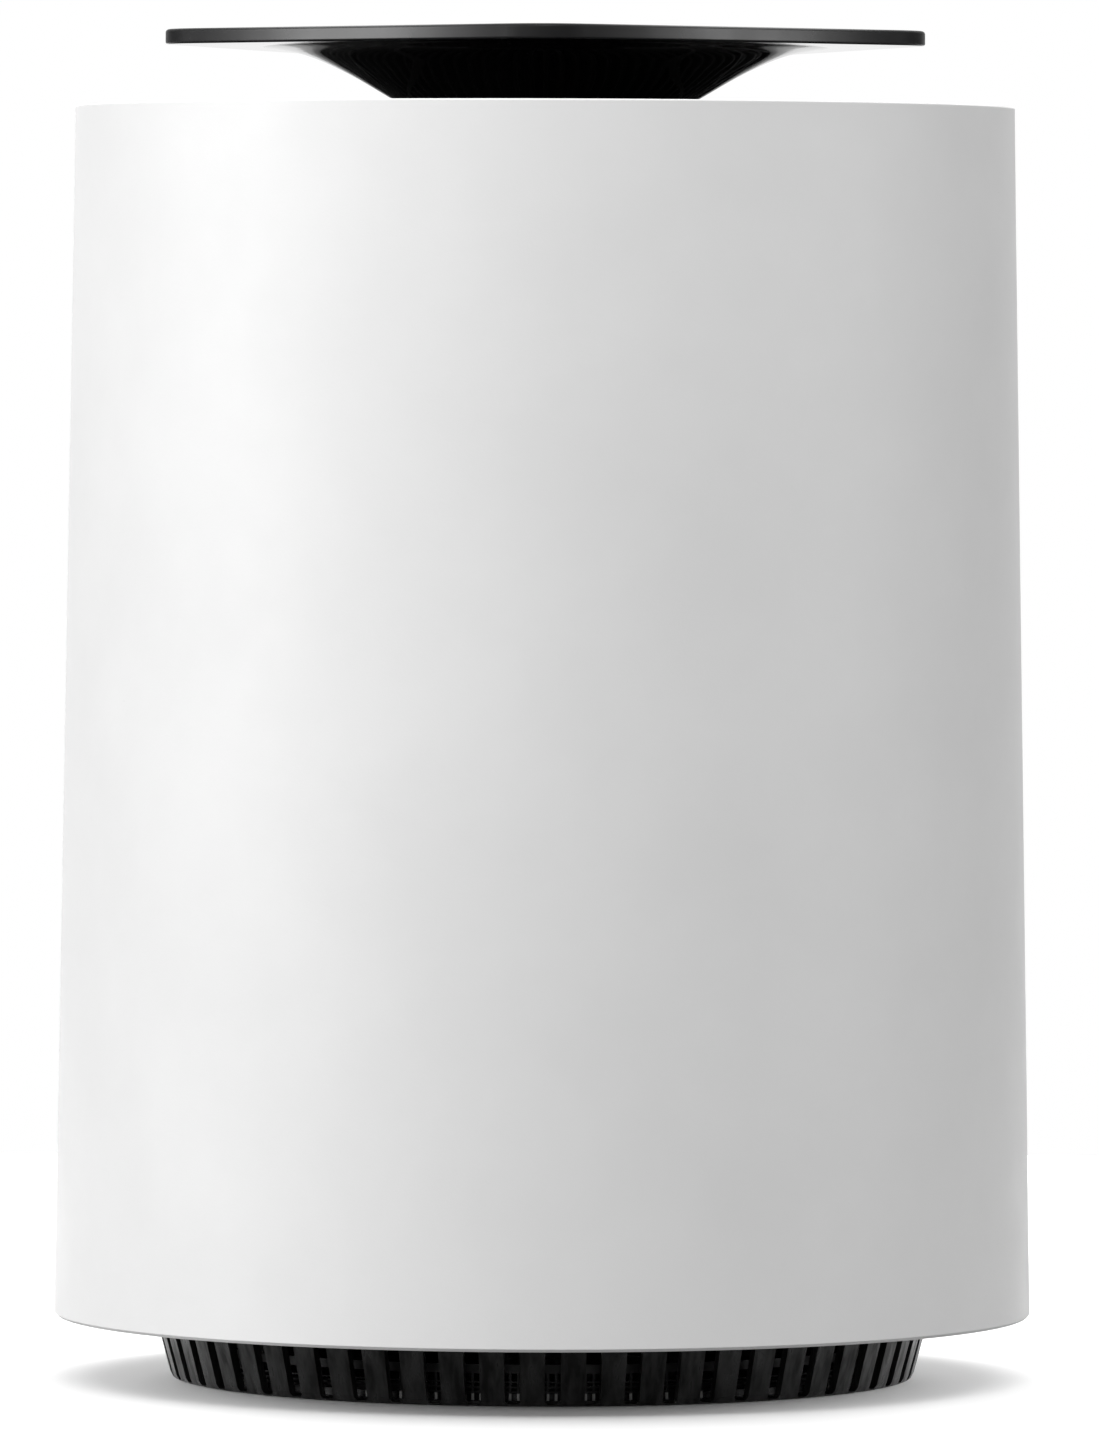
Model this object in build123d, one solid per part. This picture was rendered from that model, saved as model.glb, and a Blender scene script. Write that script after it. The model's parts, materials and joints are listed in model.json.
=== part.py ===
from build123d import *
import math
import os

# A round, free-standing air purifier. Air enters through the slotted foot, passes through a ring
# filter from the outside in, and is blown up past a flared deflector under the pentagon top plate.
# Millimetres. The origin is on the floor at the centre of the foot, +Z is up and the front is -Y.

os.makedirs("parts", exist_ok=True)

# Overall shell: a slightly tapered tube
SHELL_BOTTOM_R = 170.3
SHELL_TOP_R = 163.5
SHELL_BOTTOM_Z = 21.8
SHELL_TOP_Z = 442.7
SHELL_WALL = 3.0
SHELL_BEVEL = 1.0
SHELL_BOSS_R = 5.0

# Foot with its air slots
FOOT_BOTTOM_Z = 0.3
FOOT_BOTTOM_R = 128.9
FOOT_TOP_R = 135.2
FOOT_TOP_Z = 26.0
FOOT_WALL = 3.0
SLOT_COUNT = 60
SLOT_PHASE = 1.65
SLOT_WIDTH = 5.4
SLOT_BOTTOM_Z = 0.7
SLOT_CORNER_R = 1.5
SLOT_TOP_Z = 20.5
FLANGE_INNER_R = 104.0
FLANGE_OUTER_R = 120.0
FLANGE_TOP_Z = 3.6
PAD_CIRCLE = 113.0
BASE_SCREW_CIRCLE = 109.0
BASE_SCREW_SEAT_Z = 2.9
HOOP_LEVELS = [(4.2, 4.7), (5.8, 6.3), (7.6, 8.1), (10.8, 13.8)]
FLOOR_PLATE_R = 118.0
FLOOR_PLATE_TOP_Z = 6.6

# Ring filter
FILTER_R = 130.0
FILTER_CORE_R = 93.5
FILTER_BOTTOM_Z = 38.0
FILTER_TOP_Z = 300.0
FILTER_CAP = 8.0
PLEAT_COUNT = 72
GASKET_TOP_Z = 303.7

# Fan chamber
DECK_BOTTOM_Z = 304.0
DECK_TOP_Z = 308.0
DUCT_R = 150.0
DUCT_WALL = 2.5
DUCT_LIP_Z = 441.8
GRILLE_LEDGE_Z = 418.4
IMPELLER_R = 118.0
IMPELLER_BOTTOM_Z = 322.0
IMPELLER_TOP_Z = 374.5
BLADE_COUNT = 9
SHAFT_R = 4.0
BEARING_R = 11.0
DIFFUSER_Z = 378.0
DIFFUSER_VANES = 11
STEM_R = 30.0
STEM_BOTTOM_Z = 382.2

# Pentagon top plate on the flared deflector
PLATE_TOP_Z = 468.6
PLATE_BOTTOM_Z = 463.4
PLATE_CORNER_R = 142.0
PLATE_CORNER_ROUND = 22.0
FLARE_R = 98.5
PLATE_SCREW_CIRCLE = 54.0
PLATE_SCREW_SEAT_Z = PLATE_BOTTOM_Z + 0.6
PANEL_R = 60.0
PANEL_BOTTOM_Z = PLATE_TOP_Z - 2.4
BUTTON_R = 14.2
BUTTON_FLANGE_Z = PLATE_BOTTOM_Z - 1.6
LIGHT_RING_R = 17.0
DISPLAY_BOARD_Z = 456.0
DISPLAY_POST_CIRCLE = 29.0
CONTROL_BOARD_Z = 446.1
BOARD_THICKNESS = 1.6

# Mains inlet, low at the back
INLET_Z = 48.0
INLET_FACE_Y = 169.4
SOCKET_WIDTH = 16.0
SOCKET_HEIGHT = 8.6
PIN_SPACING = 8.6
PIN_R = 1.2

# Fasteners
SCREW_R = 1.5
SCREW_HEAD_R = 3.0
SCREW_HEAD = 2.2
SCREW_PLAY = 0.1
BOTTOM_SCREW_CIRCLE = 162.8
DECK_SCREW_CIRCLE = 156.0

BOTTOM = (Align.CENTER, Align.CENTER, Align.MIN)


# ---------------------------------------------------------------- helpers


def disc(radius, low, high):
    """An upright cylinder between two heights."""
    return Pos(0, 0, low) * Cylinder(radius, high - low, align=BOTTOM)


def tube(outer, inner, low, high):
    """An upright tube between two heights."""
    return disc(outer, low, high) - disc(inner, low - 1, high + 1)


def block(x, y, low, high, at=(0, 0), rounding=0.0):
    """An upright block, with rounded upright edges where asked."""
    plan = RectangleRounded(x, y, rounding) if rounding else Rectangle(x, y)
    return Pos(at[0], at[1], low) * extrude(plan, high - low)


def turned(points, rounds=()):
    """A body turned about Z from an outline of (radius, height) points. Rounds are (point, radius)."""
    outline = make_face(Polyline(*points, close=True))
    for corner, radius in rounds:
        nearest = outline.vertices().sort_by_distance((*corner, 0))[0]
        outline = fillet(nearest, radius)
    return revolve(Plane.XZ * outline, Axis.Z)


def around(piece, count, start=0.0):
    """Copies of a piece spaced evenly round Z."""
    return [Rot(0, 0, start + 360 * step / count) * piece for step in range(count)]


def at_polar(piece, radius, count, start=0.0):
    """Copies of a piece, each moved out to a radius, spaced evenly round Z."""
    return around(Pos(radius, 0, 0) * piece, count, start)


def screw_up(seat_z, tip_z):
    """A cross-head screw pointing up, with its head below the seat."""
    shank = disc(SCREW_R, seat_z, tip_z)
    head = disc(SCREW_HEAD_R, seat_z - SCREW_HEAD, seat_z)
    cross = block(0.8, 3.6, seat_z - SCREW_HEAD, seat_z - 1.0)
    return shank + head - cross - Rot(0, 0, 90) * cross


def screw_down(seat_z, tip_z):
    """A cross-head screw pointing down, with its head above the seat."""
    return mirror(screw_up(0, seat_z - tip_z), Plane.XY).moved(Location((0, 0, seat_z)))


def save(name, *solids):
    """Write one node, made of one solid or of several separate ones."""
    pieces = [solid for item in solids for solid in item.solids()]
    shape = pieces[0] if len(pieces) == 1 else Compound(children=pieces)
    export_step(shape, f"parts/{name}.step")


# ---------------------------------------------------------------- foot


def foot_slot():
    """Cutter for one air slot, with rounded corners."""
    plan = RectangleRounded(SLOT_WIDTH, SLOT_TOP_Z - SLOT_BOTTOM_Z, SLOT_CORNER_R)
    middle = Pos(0, (SLOT_TOP_Z + SLOT_BOTTOM_Z) / 2)
    return extrude(Plane.XZ.offset(FLANGE_OUTER_R + 4) * middle * plan, 20)


def make_foot():
    """The slotted ring, its floor plate, the hoops behind the slots, and the filter seat."""
    wall = turned(
        [
            (FLANGE_INNER_R, FOOT_BOTTOM_Z),
            (FOOT_BOTTOM_R, FOOT_BOTTOM_Z),
            (FOOT_BOTTOM_R + 1.0, 2.2),
            (FOOT_TOP_R, SHELL_BOTTOM_Z),
            (FOOT_TOP_R + 0.9, SHELL_BOTTOM_Z + 0.8),
            (FOOT_TOP_R + 0.9, FOOT_TOP_Z),
            (FOOT_TOP_R - FOOT_WALL, FOOT_TOP_Z),
            (FOOT_TOP_R - FOOT_WALL, SHELL_BOTTOM_Z),
            (FOOT_BOTTOM_R - FOOT_WALL + 0.7, 1.5),
            (FLANGE_OUTER_R, 1.5),
            (FLANGE_OUTER_R, FLANGE_TOP_Z),
            (FLANGE_INNER_R, FLANGE_TOP_Z),
        ],
        rounds=[((FOOT_BOTTOM_R, FOOT_BOTTOM_Z), 0.6), ((FOOT_BOTTOM_R + 1.0, 2.2), 1.5)],
    )
    wall -= around(foot_slot(), SLOT_COUNT, SLOT_PHASE)
    wall -= at_polar(disc(3.1, 0, FLANGE_TOP_Z + 1), PAD_CIRCLE, 5, 18)
    wall -= at_polar(disc(SCREW_R + SCREW_PLAY, 0, FLANGE_TOP_Z + 1), BASE_SCREW_CIRCLE, 5, 54)
    wall -= at_polar(disc(SCREW_HEAD_R + 0.3, 0, BASE_SCREW_SEAT_Z), BASE_SCREW_CIRCLE, 5, 54)
    save("base_grille", wall)

    pad = disc(7, 0, FOOT_BOTTOM_Z) + disc(3.0, FOOT_BOTTOM_Z, FLANGE_TOP_Z)
    save("rubber_feet", *at_polar(pad, PAD_CIRCLE, 5, 18))

    plate = disc(FLOOR_PLATE_R, FLANGE_TOP_Z, FLOOR_PLATE_TOP_Z)
    plate -= disc(FLANGE_INNER_R - 4, FLANGE_TOP_Z - 1, FLANGE_TOP_Z + 1)
    plate += around(Pos(60, 0, 0) * block(76, 2, FLOOR_PLATE_TOP_Z, 12), 10, 9)
    bosses = at_polar(disc(4.5, FLOOR_PLATE_TOP_Z - 1, 15), BASE_SCREW_CIRCLE, 5, 54)
    holes = at_polar(disc(SCREW_R + SCREW_PLAY, FLANGE_TOP_Z - 1, 13), BASE_SCREW_CIRCLE, 5, 54)
    save("base_plate", plate + bosses - holes)
    save("base_screws", *at_polar(screw_up(BASE_SCREW_SEAT_Z, 12.5), BASE_SCREW_CIRCLE, 5, 54))

    hoops = [tube(123.0, 121.6, low, high) for low, high in HOOP_LEVELS]
    post = block(1.2, 0.9, 1.6, 13.8)
    posts = [
        piece
        for side in (-0.65, 0.65)
        for piece in at_polar(post, 122.3, SLOT_COUNT, SLOT_PHASE + side)
    ]
    save("prefilter_frame", hoops[0].fuse(*hoops[1:], *posts))


def make_filter_seat():
    """The spoked stand that lifts the filter above the incoming air."""
    rim = tube(118, 100, FILTER_BOTTOM_Z - 5, FILTER_BOTTOM_Z - 1)
    lip = tube(92.5, 89, FILTER_BOTTOM_Z - 5, FILTER_BOTTOM_Z + 2)
    spoke = Pos(102, 0, 0) * block(26, 4, FILTER_BOTTOM_Z - 5, FILTER_BOTTOM_Z - 1)
    leg = block(12, 4, 12, FILTER_BOTTOM_Z - 4, at=(94, 0))
    seat = rim + lip + around(spoke, 10, 9) + around(leg, 10, 9)
    save("filter_seat", seat)


# ---------------------------------------------------------------- filter


def pleat_ring(outer, inner, thickness):
    """A zigzag band closed into a ring, seen from above."""
    step = math.pi / PLEAT_COUNT
    outside = []
    inside = []
    for index in range(2 * PLEAT_COUNT):
        radius = outer if index % 2 else inner
        direction = Vector(math.cos(index * step), math.sin(index * step))
        outside.append(direction * (radius + thickness))
        inside.append(direction * (radius - thickness))
    return make_face(Polyline(*outside, close=True)) - make_face(Polyline(*inside, close=True))


def make_filter():
    """The removable cartridge: two caps, the pleats, carbon, nets and the top seal."""
    low = FILTER_BOTTOM_Z + FILTER_CAP
    high = FILTER_TOP_Z - FILTER_CAP
    bottom = disc(FILTER_R, FILTER_BOTTOM_Z, low) - disc(93.0, FILTER_BOTTOM_Z - 1, low - 3)
    bottom_rim = bottom.edges().group_by(Axis.Z)[0].sort_by(SortBy.LENGTH)[-1]
    save("filter_bottom_cap", chamfer(bottom_rim, 1.5))
    top = tube(FILTER_R, FILTER_CORE_R, high, FILTER_TOP_Z)
    top_rim = top.edges().group_by(Axis.Z)[-1].sort_by(SortBy.LENGTH)[-1]
    save("filter_top_cap", chamfer(top_rim, 1.5))
    save("filter_pleats", Pos(0, 0, low) * extrude(pleat_ring(124.5, 104.0, 1.0), high - low))
    save("filter_carbon_layer", tube(101.5, 96.5, low, high))
    save("filter_inner_core", tube(96.0, FILTER_CORE_R + 0.5, low, high))
    save("filter_outer_net", tube(128.4, 127.4, low, high))
    save("filter_gasket", tube(112, 99, FILTER_TOP_Z, GASKET_TOP_Z))


# ---------------------------------------------------------------- housing


def make_shell():
    """The outer tube, with screw bosses, the sensor vents and the inlet cut-out at the back."""
    shell = turned(
        [
            (SHELL_BOTTOM_R - SHELL_BEVEL, SHELL_BOTTOM_Z),
            (SHELL_BOTTOM_R, SHELL_BOTTOM_Z + SHELL_BEVEL),
            (SHELL_TOP_R, SHELL_TOP_Z),
            (SHELL_TOP_R - SHELL_WALL, SHELL_TOP_Z),
            (SHELL_BOTTOM_R - SHELL_WALL, SHELL_BOTTOM_Z),
        ],
        rounds=[
            ((SHELL_BOTTOM_R, SHELL_BOTTOM_Z + SHELL_BEVEL), 0.3),
            ((SHELL_TOP_R, SHELL_TOP_Z), 0.6),
            ((SHELL_TOP_R - SHELL_WALL, SHELL_TOP_Z), 0.5),
        ],
    )
    boss = disc(SHELL_BOSS_R, 25.2, 45)
    shell += at_polar(boss, BOTTOM_SCREW_CIRCLE, 6)
    shell -= at_polar(disc(SCREW_R + SCREW_PLAY, 20, 42), BOTTOM_SCREW_CIRCLE, 6)
    shell -= Pos(0, 170, INLET_Z) * Box(24.4, 12, 16.4)
    vents = [Pos(0, 166, 216 + 5 * row) * Box(26, 12, 1.8) for row in range(6)]
    save("outer_shell", shell - vents)


def make_bottom_ring():
    """The ring that closes the shell's underside and seats on the foot."""
    ring = turned(
        [
            (137.0, 22.2),
            (166.9, 22.2),
            (166.9, 25.0),
            (140.0, 25.0),
            (140.0, 29.3),
            (132.4, 29.3),
            (132.4, 26.3),
            (137.0, 26.3),
        ],
        rounds=[((137.0, 22.2), 0.8), ((140.0, 29.3), 0.8)],
    )
    ring -= at_polar(disc(SCREW_R + SCREW_PLAY, 20, 26), BOTTOM_SCREW_CIRCLE, 6)
    ring -= at_polar(disc(SCREW_HEAD_R + 0.3, 21, 24), BOTTOM_SCREW_CIRCLE, 6)
    save("bottom_ring", ring)
    save("bottom_screws", *at_polar(screw_up(24.0, 40), BOTTOM_SCREW_CIRCLE, 6))


def make_fan_deck():
    """The deck with its bell-mouth between filter and fan, and the finger guard under it."""
    deck = turned(
        [
            (80.0, DECK_BOTTOM_Z),
            (161.8, DECK_BOTTOM_Z),
            (161.8, DECK_TOP_Z),
            (92.0, DECK_TOP_Z),
            (82.0, 319.0),
            (79.0, 319.0),
            (79.0, 312.0),
        ],
        rounds=[((92.0, DECK_TOP_Z), 8.0)],
    )
    deck -= at_polar(disc(SCREW_R + SCREW_PLAY, 300, 312), DECK_SCREW_CIRCLE, 6)
    deck -= block(18, 9, 300, 312, at=(0, 154.5))
    guard_seat = tube(86.0, 78.0, DECK_BOTTOM_Z - 1, DECK_BOTTOM_Z + 1.6)
    save("fan_deck", deck - guard_seat)
    save("deck_screws", *at_polar(screw_up(DECK_BOTTOM_Z, 318), DECK_SCREW_CIRCLE, 6))

    hoops = Sketch() + [Circle(r + 1) - Circle(r - 1) for r in (14, 27, 40, 53, 66)]
    hoops += Circle(85.8) - Circle(80)
    hoops += Circle(9)
    hoops += around(Pos(41, 0) * Rectangle(80, 2.4), 6)
    save("inlet_guard", Pos(0, 0, DECK_BOTTOM_Z) * extrude(hoops, 1.5))


def make_duct():
    """The smooth inner tube from the deck up to the flared outlet mouth."""
    duct = turned(
        [
            (DUCT_R, DECK_TOP_Z),
            (DUCT_R + 11, DECK_TOP_Z),
            (DUCT_R + 11, DECK_TOP_Z + 3),
            (DUCT_R + DUCT_WALL, DECK_TOP_Z + 3),
            (DUCT_R + DUCT_WALL, GRILLE_LEDGE_Z - 3),
            (DUCT_R + 2 + DUCT_WALL, GRILLE_LEDGE_Z),
            (DUCT_R + 2 + DUCT_WALL, DUCT_LIP_Z - 9.4),
            (160.2, DUCT_LIP_Z - 2.8),
            (160.2, DUCT_LIP_Z),
            (157.2, DUCT_LIP_Z),
            (DUCT_R + 2, DUCT_LIP_Z - 8.4),
            (DUCT_R + 2, GRILLE_LEDGE_Z),
            (DUCT_R, GRILLE_LEDGE_Z),
        ],
        rounds=[
            ((157.2, DUCT_LIP_Z), 2.4),
            ((DUCT_R + 2, DUCT_LIP_Z - 8.4), 6.0),
            ((DUCT_R + 2 + DUCT_WALL, DUCT_LIP_Z - 9.4), 3.0),
        ],
    )
    duct += at_polar(disc(4.4, DECK_TOP_Z, 321), DECK_SCREW_CIRCLE, 6)
    duct -= at_polar(disc(SCREW_R + SCREW_PLAY, 305, 319.5), DECK_SCREW_CIRCLE, 6)
    save("inner_duct", duct - block(18, 9, 300, 312, at=(0, 157.5)))


def curved_blade(inner, outer, sweep, thickness):
    """Plan of one blade that leans back by an angle between two radii."""
    start = Vector(inner, 0)
    end = Vector(outer, 0).rotate(Axis.Z, sweep)
    middle = Vector((inner + outer) / 2, 0).rotate(Axis.Z, sweep * 0.36)
    return trace(ThreePointArc(start, middle, end), thickness)


def make_diffuser():
    """The ring of guide vanes that carries the motor in its middle."""
    top = DIFFUSER_Z + 28
    hub = disc(62, DIFFUSER_Z, DIFFUSER_Z + 4)
    hub += tube(BEARING_R + 3, BEARING_R, 352, DIFFUSER_Z + 4)
    hub += tube(62, 59, DIFFUSER_Z + 3, top)
    rim = tube(DUCT_R - 0.2, DUCT_R - 2.8, DIFFUSER_Z, top)
    vane = extrude(curved_blade(60.5, 148.5, -24, 2.2), top - DIFFUSER_Z)
    body = hub + rim + around(Pos(0, 0, DIFFUSER_Z) * vane, DIFFUSER_VANES)
    save("diffuser", body - disc(BEARING_R, 340, DIFFUSER_Z + 6))


def make_outlet_grille():
    """The round grille of swept fins that the air leaves through."""
    plan = Circle(151) - Circle(147.6)
    plan += Circle(STEM_R + 3.4) - Circle(STEM_R + 0.3)
    plan += [Circle(r + 0.9) - Circle(r - 0.9) for r in (58, 88, 118)]
    fin = curved_blade(STEM_R + 2.5, 149, 16, 1.7)
    plan += around(fin, 48)
    save("outlet_grille", Pos(0, 0, GRILLE_LEDGE_Z) * extrude(plan, 9))


def make_motor():
    """The still half of the motor: laminations, coils, bearings and its driver board."""
    core = Circle(22) - Circle(BEARING_R + 3.1)
    core += around(Pos(28.5, 0) * Rectangle(18, 5), 12)
    core += around(Pos(38.6, 0) * Rectangle(3.0, 15), 12)
    core &= Circle(40.2)
    save("motor_stator", Pos(0, 0, 352) * extrude(core, 14))

    coil = Pos(29.5, 0, 359) * (Box(11, 9.6, 19) - Box(12, 5.1, 14.1))
    save("stator_coils", *around(coil, 12))

    bearing = tube(BEARING_R - 0.02, SHAFT_R + 0.05, 0, 7)
    bearing -= tube(9.3, 6.3, 6.2, 8)
    bearing -= tube(9.3, 6.3, -1, 0.8)
    save("motor_bearings", Pos(0, 0, 353) * bearing, Pos(0, 0, 374) * bearing)
    board = tube(38, BEARING_R + 3.2, 371.6, 373.2)
    chips = [Pos(28, 0, 370.1) * Box(7, 6, 3), Rot(0, 0, 130) * Pos(27, 0, 370.1) * Box(9, 8, 3)]
    save("motor_board", board + chips)


def make_rotor():
    """Everything that turns: impeller, steel can, magnets, shaft and its clip."""
    hub = turned(
        [
            (0, 336.0),
            (41, 336.0),
            (49.4, 343.6),
            (49.4, IMPELLER_TOP_Z - 2.5),
            (IMPELLER_R, IMPELLER_TOP_Z - 2.5),
            (IMPELLER_R, IMPELLER_TOP_Z),
            (46.0, IMPELLER_TOP_Z),
            (46.0, 342.0),
            (0, 342.0),
        ],
        rounds=[((41, 336.0), 8.0), ((49.4, 343.6), 6.0)],
    )
    shroud = turned(
        [
            (83.5, IMPELLER_BOTTOM_Z),
            (86.0, IMPELLER_BOTTOM_Z),
            (92.0, 330.0),
            (IMPELLER_R, 341.0),
            (IMPELLER_R, 343.5),
            (90.5, 332.0),
        ],
        rounds=[((92.0, 330.0), 8.0)],
    )
    passage = turned(
        [
            (46.5, 350.0),
            (49.0, IMPELLER_TOP_Z - 2.0),
            (IMPELLER_R - 0.5, IMPELLER_TOP_Z - 2.0),
            (IMPELLER_R - 0.5, 342.3),
            (91.5, 331.2),
            (70.0, 334.0),
        ]
    )
    blade = Pos(0, 0, IMPELLER_BOTTOM_Z) * extrude(curved_blade(47, IMPELLER_R - 0.5, -38, 2.0), 60)
    impeller = hub + shroud + [piece & passage for piece in around(blade, BLADE_COUNT)]
    save("impeller", impeller - disc(SHAFT_R - 0.02, 330, 345))

    can = disc(45.8, 342.2, 369) - disc(43.8, 344.2, 370) - disc(SHAFT_R, 340, 350)
    save("rotor_can", can)
    magnet = tube(43.7, 41.0, 349, 369) & (Pos(42, 0, 359) * Box(12, 19.6, 30))
    save("rotor_magnets", *around(magnet, 12))
    shaft = disc(SHAFT_R - 0.03, 338.7, 386) - tube(6, 3.3, 383.0, 384.0)
    save("motor_shaft", chamfer(shaft.edges().group_by(Axis.Z)[-1], 0.5))
    clip = tube(6.5, 3.35, 383.1, 383.9) - Pos(5, 0, 383.5) * Box(8, 2.4, 3)
    save("shaft_clip", clip)


# ---------------------------------------------------------------- deflector, plate and controls


def deflector_outline():
    """Closed half section of the hollow flared deflector on its stem."""
    flare = Spline(
        (STEM_R, 431.4),
        (54.6, 446.1),
        (70.0, 454.8),
        (84.0, 460.7),
        (FLARE_R, PLATE_BOTTOM_Z),
        tangents=[(0.62, 1.0), (1.0, 0.15)],
    )
    inside = Polyline(
        (FLARE_R, PLATE_BOTTOM_Z),
        (88.0, PLATE_BOTTOM_Z),
        (80.0, 461.6),
        (68.0, 456.6),
        (52.0, 447.6),
        (STEM_R - 2.5, 432.8),
        (STEM_R - 2.5, STEM_BOTTOM_Z),
        (STEM_R, STEM_BOTTOM_Z),
        (STEM_R, 431.4),
    )
    return make_face([*flare.edges(), *inside.edges()])


def make_deflector():
    """The flared deflector, with posts inside it for the boards and the plate."""
    trumpet = revolve(Plane.XZ * deflector_outline(), Axis.Z)
    trumpet += at_polar(disc(4.0, 449.2, PLATE_BOTTOM_Z), PLATE_SCREW_CIRCLE, 5, 18)
    trumpet += at_polar(disc(2.6, 439.0, CONTROL_BOARD_Z - 0.1), 39, 3, 30)
    trumpet -= at_polar(disc(SCREW_R + SCREW_PLAY, 450, 470), PLATE_SCREW_CIRCLE, 5, 18)
    save("trumpet_deflector", trumpet)


def make_plate():
    """The rounded pentagon plate with a corner to the front, and the screws that hold it."""
    plan = Rot(0, 0, -90) * RegularPolygon(PLATE_CORNER_R, 5)
    plan = fillet(plan.vertices(), PLATE_CORNER_ROUND)
    plate = Pos(0, 0, PLATE_BOTTOM_Z) * extrude(plan, PLATE_TOP_Z - PLATE_BOTTOM_Z)
    plate = fillet(plate.edges().group_by(Axis.Z)[-1], 1.2)
    plate = fillet(plate.edges().group_by(Axis.Z)[0], 0.9)
    plate -= disc(PANEL_R + 0.2, PANEL_BOTTOM_Z - 0.1, PLATE_TOP_Z + 1)
    plate -= disc(BUTTON_R + 0.4, PLATE_BOTTOM_Z - 1, PLATE_TOP_Z)
    plate -= at_polar(disc(SCREW_R + SCREW_PLAY, 460, 470), PLATE_SCREW_CIRCLE, 5, 18)
    plate -= at_polar(disc(SCREW_HEAD_R + 0.2, PLATE_SCREW_SEAT_Z, 470), PLATE_SCREW_CIRCLE, 5, 18)
    post_foot = DISPLAY_BOARD_Z + BOARD_THICKNESS + 0.1
    plate += at_polar(disc(2.6, post_foot, PLATE_BOTTOM_Z + 0.5), DISPLAY_POST_CIRCLE, 3, 90)
    save("top_plate", plate)
    save("plate_screws", *at_polar(screw_down(PLATE_SCREW_SEAT_Z, 452), PLATE_SCREW_CIRCLE, 5, 18))


def make_controls():
    """Glass panel, light ring, power button, its switch, the display board and the main board."""
    save("touch_panel", tube(PANEL_R, LIGHT_RING_R + 0.1, PANEL_BOTTOM_Z, PLATE_TOP_Z - 0.05))
    save("light_ring", tube(LIGHT_RING_R, BUTTON_R + 0.45, PANEL_BOTTOM_Z, PLATE_TOP_Z - 0.05))
    button = disc(BUTTON_R, BUTTON_FLANGE_Z, PLATE_TOP_Z - 0.1)
    button = fillet(button.edges().group_by(Axis.Z)[-1], 0.6)
    button += disc(BUTTON_R + 1.8, BUTTON_FLANGE_Z, BUTTON_FLANGE_Z + 1.2)
    save("power_button", button)

    board_top = DISPLAY_BOARD_Z + BOARD_THICKNESS
    save("display_board", disc(34, DISPLAY_BOARD_Z, board_top))
    save("status_leds", *at_polar(block(1.6, 2.8, board_top + 0.05, board_top + 0.95), 20.5, 8, 22.5))
    switch = block(6, 6, board_top + 0.05, board_top + 2.75)
    save("button_switch", switch + disc(1.7, board_top + 2.4, BUTTON_FLANGE_Z - 1.0))

    top = CONTROL_BOARD_Z + BOARD_THICKNESS
    board = disc(44, CONTROL_BOARD_Z, top)
    parts_on_board = [
        block(13, 13, top - 0.1, top + 2.5, at=(-16, 8)),
        block(9, 7, top - 0.1, top + 2.5, at=(15, -10)),
        Pos(18, 16) * disc(4.0, top - 0.1, top + 5.9),
        block(16, 6, top - 0.1, top + 4.5, at=(-14, -18)),
    ]
    save("control_board", board + parts_on_board)


# ---------------------------------------------------------------- electrics at the back


def make_inlet():
    """The two-pin mains socket in the back of the shell, with its pins."""
    face = Plane.XZ.offset(-INLET_FACE_Y)
    bezel = extrude(face * Pos(0, INLET_Z) * RectangleRounded(24, 16, 2.0), 3.9)
    flange = extrude(Plane.XZ.offset(-165.5) * Pos(0, INLET_Z) * Rectangle(31, 22), 2.5)
    body = extrude(Plane.XZ.offset(-163.5) * Pos(0, INLET_Z) * Rectangle(22, 14), 10)
    mouth = extrude(face * Pos(0, INLET_Z) * SlotOverall(SOCKET_WIDTH, SOCKET_HEIGHT), 12.5)
    pins = []
    for side in (-1, 1):
        centre = Pos(side * PIN_SPACING / 2, INLET_Z)
        pins.append(extrude(Plane.XZ.offset(-167.6) * centre * Circle(PIN_R), 16.5))
    inlet = bezel + flange + body - mouth
    for side in (-1, 1):
        centre = Pos(side * PIN_SPACING / 2, INLET_Z)
        inlet -= extrude(face * centre * Circle(PIN_R + 0.02), 30)
    save("mains_inlet", inlet)
    save("inlet_pins", *[fillet(pin.edges().group_by(Axis.Y)[-1], 0.8) for pin in pins])


def make_power():
    """The power supply block and the channel that takes its wires up to the fan and the controls."""
    case = block(84, 19, 62, 168, at=(0, 145.5), rounding=2.0)
    lid_line = block(90, 0.8, 60, 170, at=(0, 149)) - block(82.8, 2, 60, 170, at=(0, 149))
    save("power_supply", case - lid_line)

    channel = block(18, 7.5, 168.2, DECK_BOTTOM_Z - 0.2, at=(0, 156.5))
    channel -= block(15, 6.5, 160, 310, at=(0, 158))
    save("cable_duct", channel)
    wires = [block(2.4, 2.4, 168.2, 384, at=(x, 156.6), rounding=1.1) for x in (-4.5, 0, 4.5)]
    save("wiring_loom", *wires)

    sensor = block(34, 15, 208, 250, at=(0, 0), rounding=1.5)
    sensor -= Pos(8, 7, 229) * Cylinder(4, 6, rotation=(90, 0, 0))
    save("air_sensor", Rot(0, 0, -13.5) * Pos(0, 151, 0) * sensor)
    save("reed_sensor", block(14, 5, 29.3, 33.3, at=(0, -136), rounding=1.0))
    save("safety_magnet", block(8, 3.8, 21.0, 26.0, at=(0, -129.6)))


make_foot()
make_filter_seat()
make_filter()
make_shell()
make_bottom_ring()
make_fan_deck()
make_duct()
make_diffuser()
make_outlet_grille()
make_motor()
make_rotor()
make_deflector()
make_plate()
make_controls()
make_inlet()
make_power()
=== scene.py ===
import json
import math

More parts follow.
